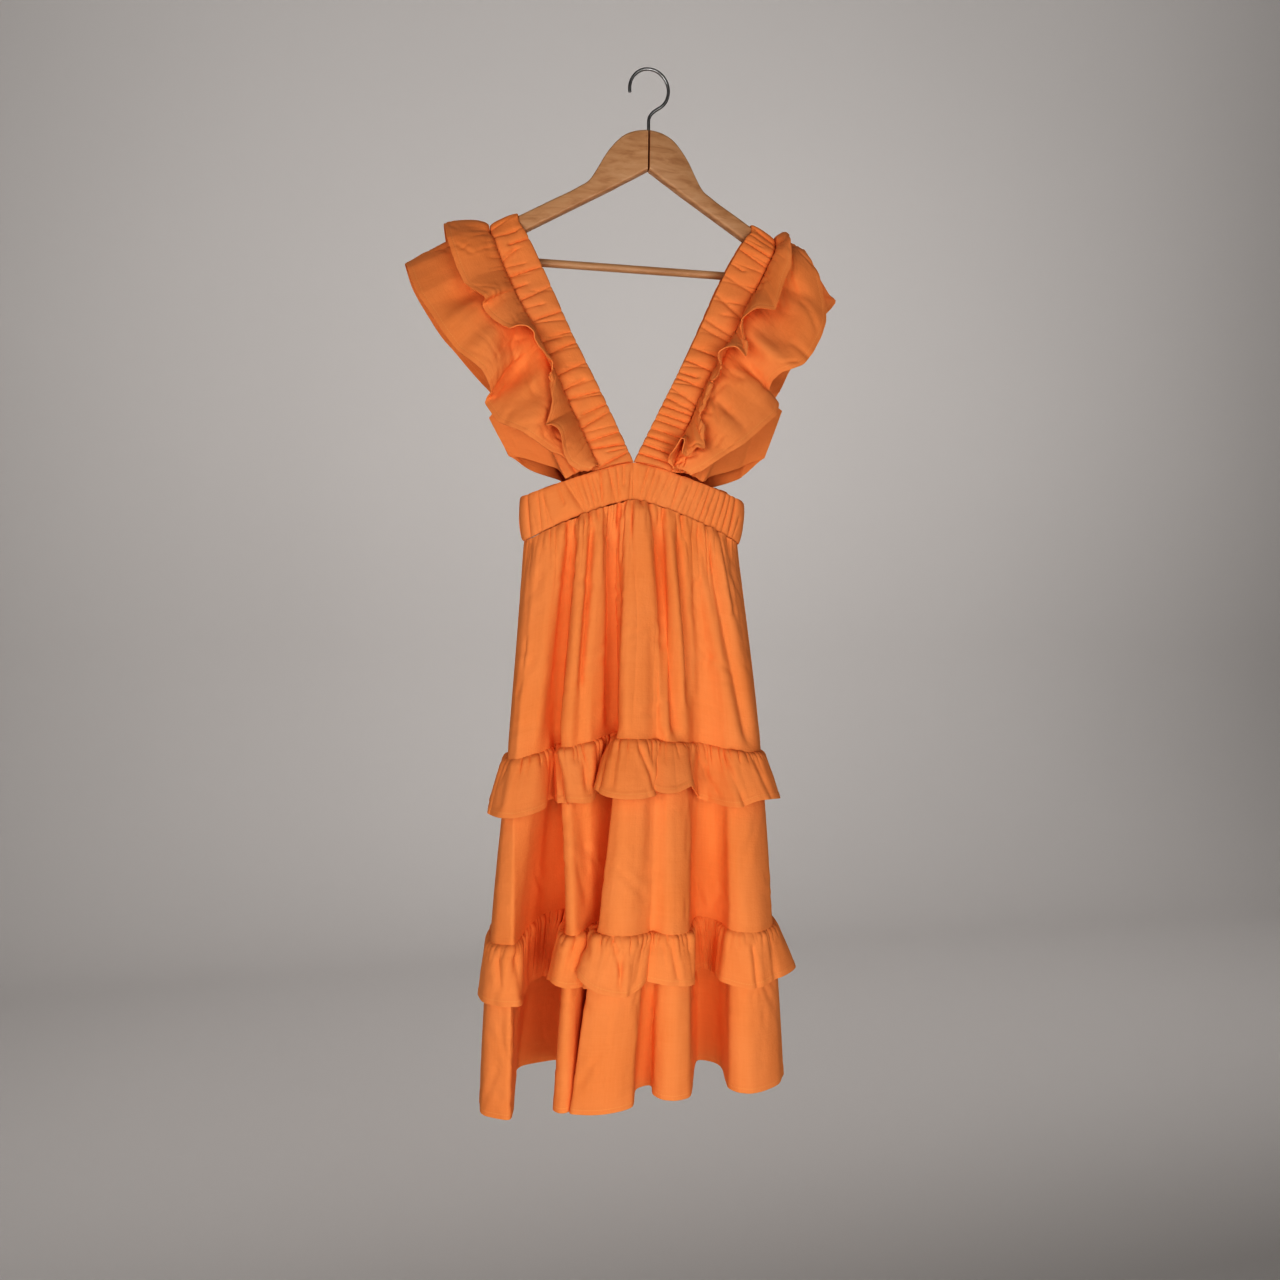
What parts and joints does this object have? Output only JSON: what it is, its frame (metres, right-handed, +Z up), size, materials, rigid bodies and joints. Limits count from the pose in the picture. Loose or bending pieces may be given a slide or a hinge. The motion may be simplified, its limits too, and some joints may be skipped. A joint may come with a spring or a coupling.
{
  "type": "ruffled midi dress on hanger",
  "caption": "Sleeveless V-neck midi dress with shoulder ruffles, gathered waistband and tiered ruffled skirt, hanging on a wooden hanger with a wire hook.",
  "frame": {"origin": "inside of the hook's crown, where the hanger is held up", "axes": "+X along the hanger to the wearer's left side, -Y the front of the dress, +Z up"},
  "size_m": [0.5616, 0.2114, 1.2728],
  "materials": {
    "linen": "matte slubbed plain weave",
    "wood": "satin, lightly lacquered",
    "steel": "satin wire"
  },
  "bodies": {
    "root": {"waistband_front": "linen", "waistband_back": "linen", "skirt_top_front": "linen", "skirt_top_back": "linen", "skirt_mid_front": "linen", "skirt_mid_back": "linen", "skirt_low_front": "linen", "skirt_low_back": "linen", "tier_1_ruffle_front": "linen", "tier_1_ruffle_back": "linen", "tier_2_ruffle_front": "linen", "tier_2_ruffle_back": "linen", "strap_left": "linen", "strap_right": "linen", "bodice_front_left": "linen", "bodice_front_right": "linen", "bodice_back_left": "linen", "bodice_back_right": "linen", "wide_ruffle_left": "linen", "wide_ruffle_right": "linen", "narrow_ruffle_left": "linen", "narrow_ruffle_right": "linen", "hanger_arm_left": "wood", "hanger_arm_right": "wood", "hanger_bar": "wood", "hanger_hook": "steel"}
  },
  "joints": []
}
